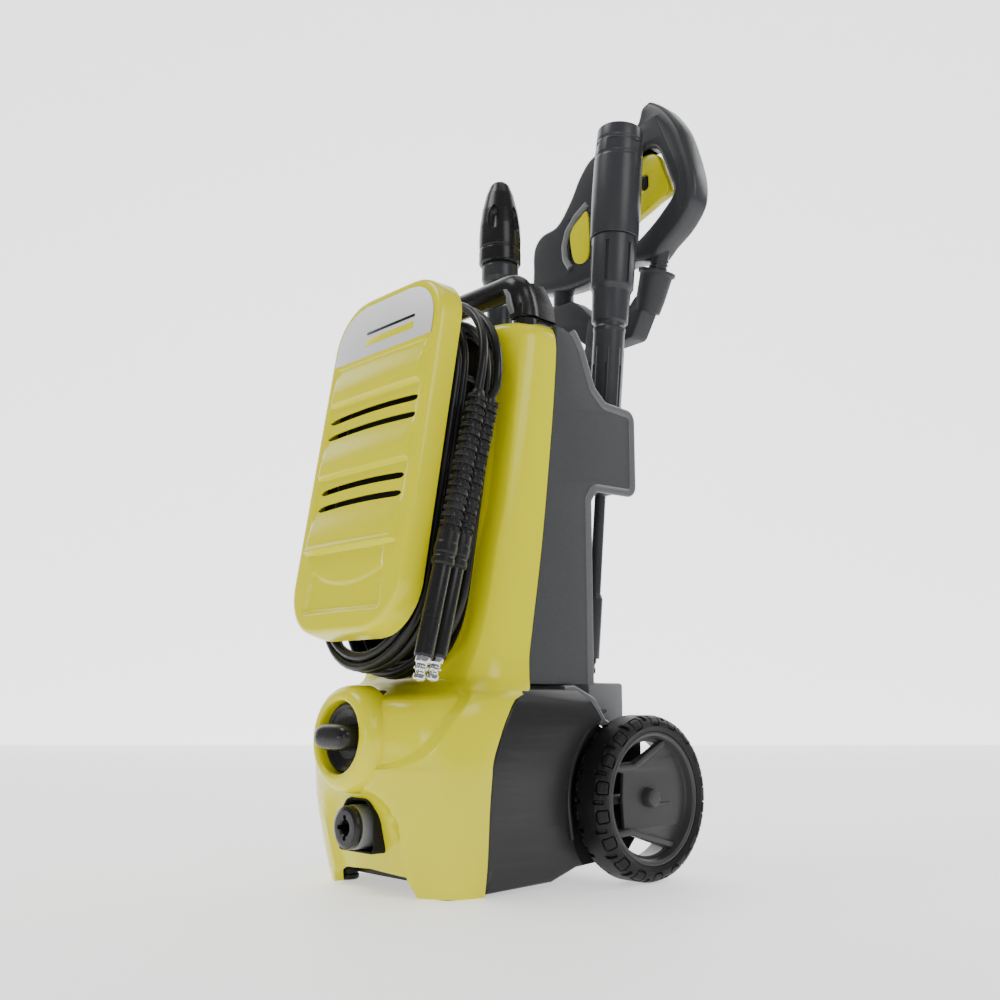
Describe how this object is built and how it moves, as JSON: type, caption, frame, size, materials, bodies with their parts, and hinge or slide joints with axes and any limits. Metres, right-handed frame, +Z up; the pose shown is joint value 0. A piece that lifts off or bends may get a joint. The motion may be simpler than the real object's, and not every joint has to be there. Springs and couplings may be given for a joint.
{
  "type": "pressure washer",
  "caption": "Upright pressure washer on two wheels: hose wound behind a front panel, rotary switch, front outlet, pull-out handle, two lances and a trigger gun.",
  "frame": {"origin": "on the floor under the middle of the machine", "axes": "+Z up, the front with the hose winding, switch and outlet faces -Y, the wheels turn about X"},
  "size_m": [0.3077, 0.417, 0.8943],
  "materials": {
    "yellow_shell": "glossy lemon yellow",
    "dark_shell": "fine matt texture",
    "black_plastic": "satin black",
    "grey_plastic": "satin light grey",
    "rubber": "black rubber",
    "steel": "bright steel",
    "badge_silver": "brushed silver plate",
    "pump_alloy": "cast alloy",
    "brass": "machined brass",
    "winding": "lacquered copper",
    "tyre_compound": "black moulded tread"
  },
  "bodies": {
    "machine": {"front_shell": "yellow_shell", "rear_shell": "dark_shell", "base_shell": "black_plastic", "handle_guide": "black_plastic", "foot_pad_right": "rubber", "foot_pad_left": "rubber", "lance_holder": "dark_shell", "lance_rest": "grey_plastic", "gun_holder": "black_plastic", "cable_hook_lower": "black_plastic", "cable_gland": "rubber", "water_inlet": "dark_shell", "inlet_filter": "steel", "axle": "steel", "winding_panel": "yellow_shell", "panel_badge": "badge_silver", "winding_hub": "dark_shell", "hose_coil": "rubber", "hose_end_inner": "rubber", "hose_end_outer": "rubber", "switch_bezel": "yellow_shell", "switch_box": "dark_shell", "outlet_recess": "yellow_shell", "outlet_socket": "black_plastic", "motor_housing": "steel", "motor_stator": "winding", "motor_bearing_lower": "steel", "motor_bearing_upper": "steel", "pump_housing": "pump_alloy", "pump_head": "brass", "piston_1": "steel", "piston_2": "steel", "piston_3": "steel", "piston_seal": "rubber", "pump_mount": "rubber", "outlet_pipe": "steel", "suction_pipe": "rubber", "run_capacitor": "grey_plastic"},
    "wheel_right": {"wheel_rim_right": "black_plastic", "tyre_right": "tyre_compound"},
    "wheel_left": {"wheel_rim_left": "black_plastic", "tyre_left": "tyre_compound"},
    "handle": {"handle_bar": "black_plastic", "handle_leg_right": "steel", "handle_leg_left": "steel"},
    "switch": {"switch_knob": "black_plastic"},
    "outlet_collar": {"outlet_release": "grey_plastic"},
    "spray_lance": {"spray_lance": "black_plastic"},
    "spray_head": {"spray_lance_head": "black_plastic"},
    "rotor_lance": {"rotor_nozzle": "black_plastic", "rotor_lance": "black_plastic"},
    "gun": {"gun_frame": "black_plastic", "gun_insert": "yellow_shell"},
    "trigger": {"gun_trigger": "yellow_shell"},
    "trigger_lock": {"trigger_lock": "black_plastic"},
    "cable_hook": {"cable_hook_upper": "black_plastic"},
    "motor": {"motor_rotor": "steel", "motor_fan": "black_plastic", "swash_plate": "steel"}
  },
  "joints": [
    {"name": "wheel_right_spin", "type": "hinge", "parent": "machine", "child": "wheel_right", "pos_m": [0.13, 0.0804, 0.0813], "axis": [1, 0, 0], "continuous": true},
    {"name": "wheel_left_spin", "type": "hinge", "parent": "machine", "child": "wheel_left", "pos_m": [-0.13, 0.0804, 0.0813], "axis": [1, 0, 0], "continuous": true},
    {"name": "handle_slide", "type": "slide", "parent": "machine", "child": "handle", "axis": [0, 0, 1], "range_m": [0, 0.25]},
    {"name": "switch_turn", "type": "hinge", "parent": "machine", "child": "switch", "pos_m": [0, -0.196, 0.143], "axis": [0, -0.9986, 0.0523], "range_deg": [0, 90]},
    {"name": "outlet_release_slide", "type": "slide", "parent": "machine", "child": "outlet_collar", "axis": [0, 1, 0], "range_m": [0, 0.004], "stiffness_N_per_m": 400},
    {"name": "spray_lance_lift", "type": "slide", "parent": "machine", "child": "spray_lance", "axis": [0.0499, 0.048, 0.9976], "range_m": [0, 0.35]},
    {"name": "spray_head_turn", "type": "hinge", "parent": "spray_lance", "child": "spray_head", "pos_m": [0.0827, 0.1244, 0.8409], "axis": [0.0499, 0.048, 0.9976], "range_deg": [0, 270]},
    {"name": "rotor_lance_lift", "type": "slide", "parent": "machine", "child": "rotor_lance", "axis": [0, 0, 1], "range_m": [0, 0.35]},
    {"name": "gun_lift", "type": "slide", "parent": "machine", "child": "gun", "axis": [0, 0, 1], "range_m": [0, 0.15]},
    {"name": "trigger_pull", "type": "hinge", "parent": "gun", "child": "trigger", "pos_m": [0.06, 0.183, 0.812], "axis": [0, -1, 0], "range_deg": [0, 8], "stiffness_Nm_per_rad": 2, "springref_deg": -8.59},
    {"name": "trigger_lock_slide", "type": "slide", "parent": "trigger", "child": "trigger_lock", "axis": [0, 1, 0], "range_m": [0, 0.003]},
    {"name": "cable_hook_turn", "type": "hinge", "parent": "machine", "child": "cable_hook", "pos_m": [0, 0.0411, 0.3435], "axis": [0, 1, 0], "range_deg": [0, 180]},
    {"name": "motor_spin", "type": "hinge", "parent": "machine", "child": "motor", "pos_m": [0, -0.026, 0.3], "axis": [0, 0, 1], "continuous": true}
  ]
}
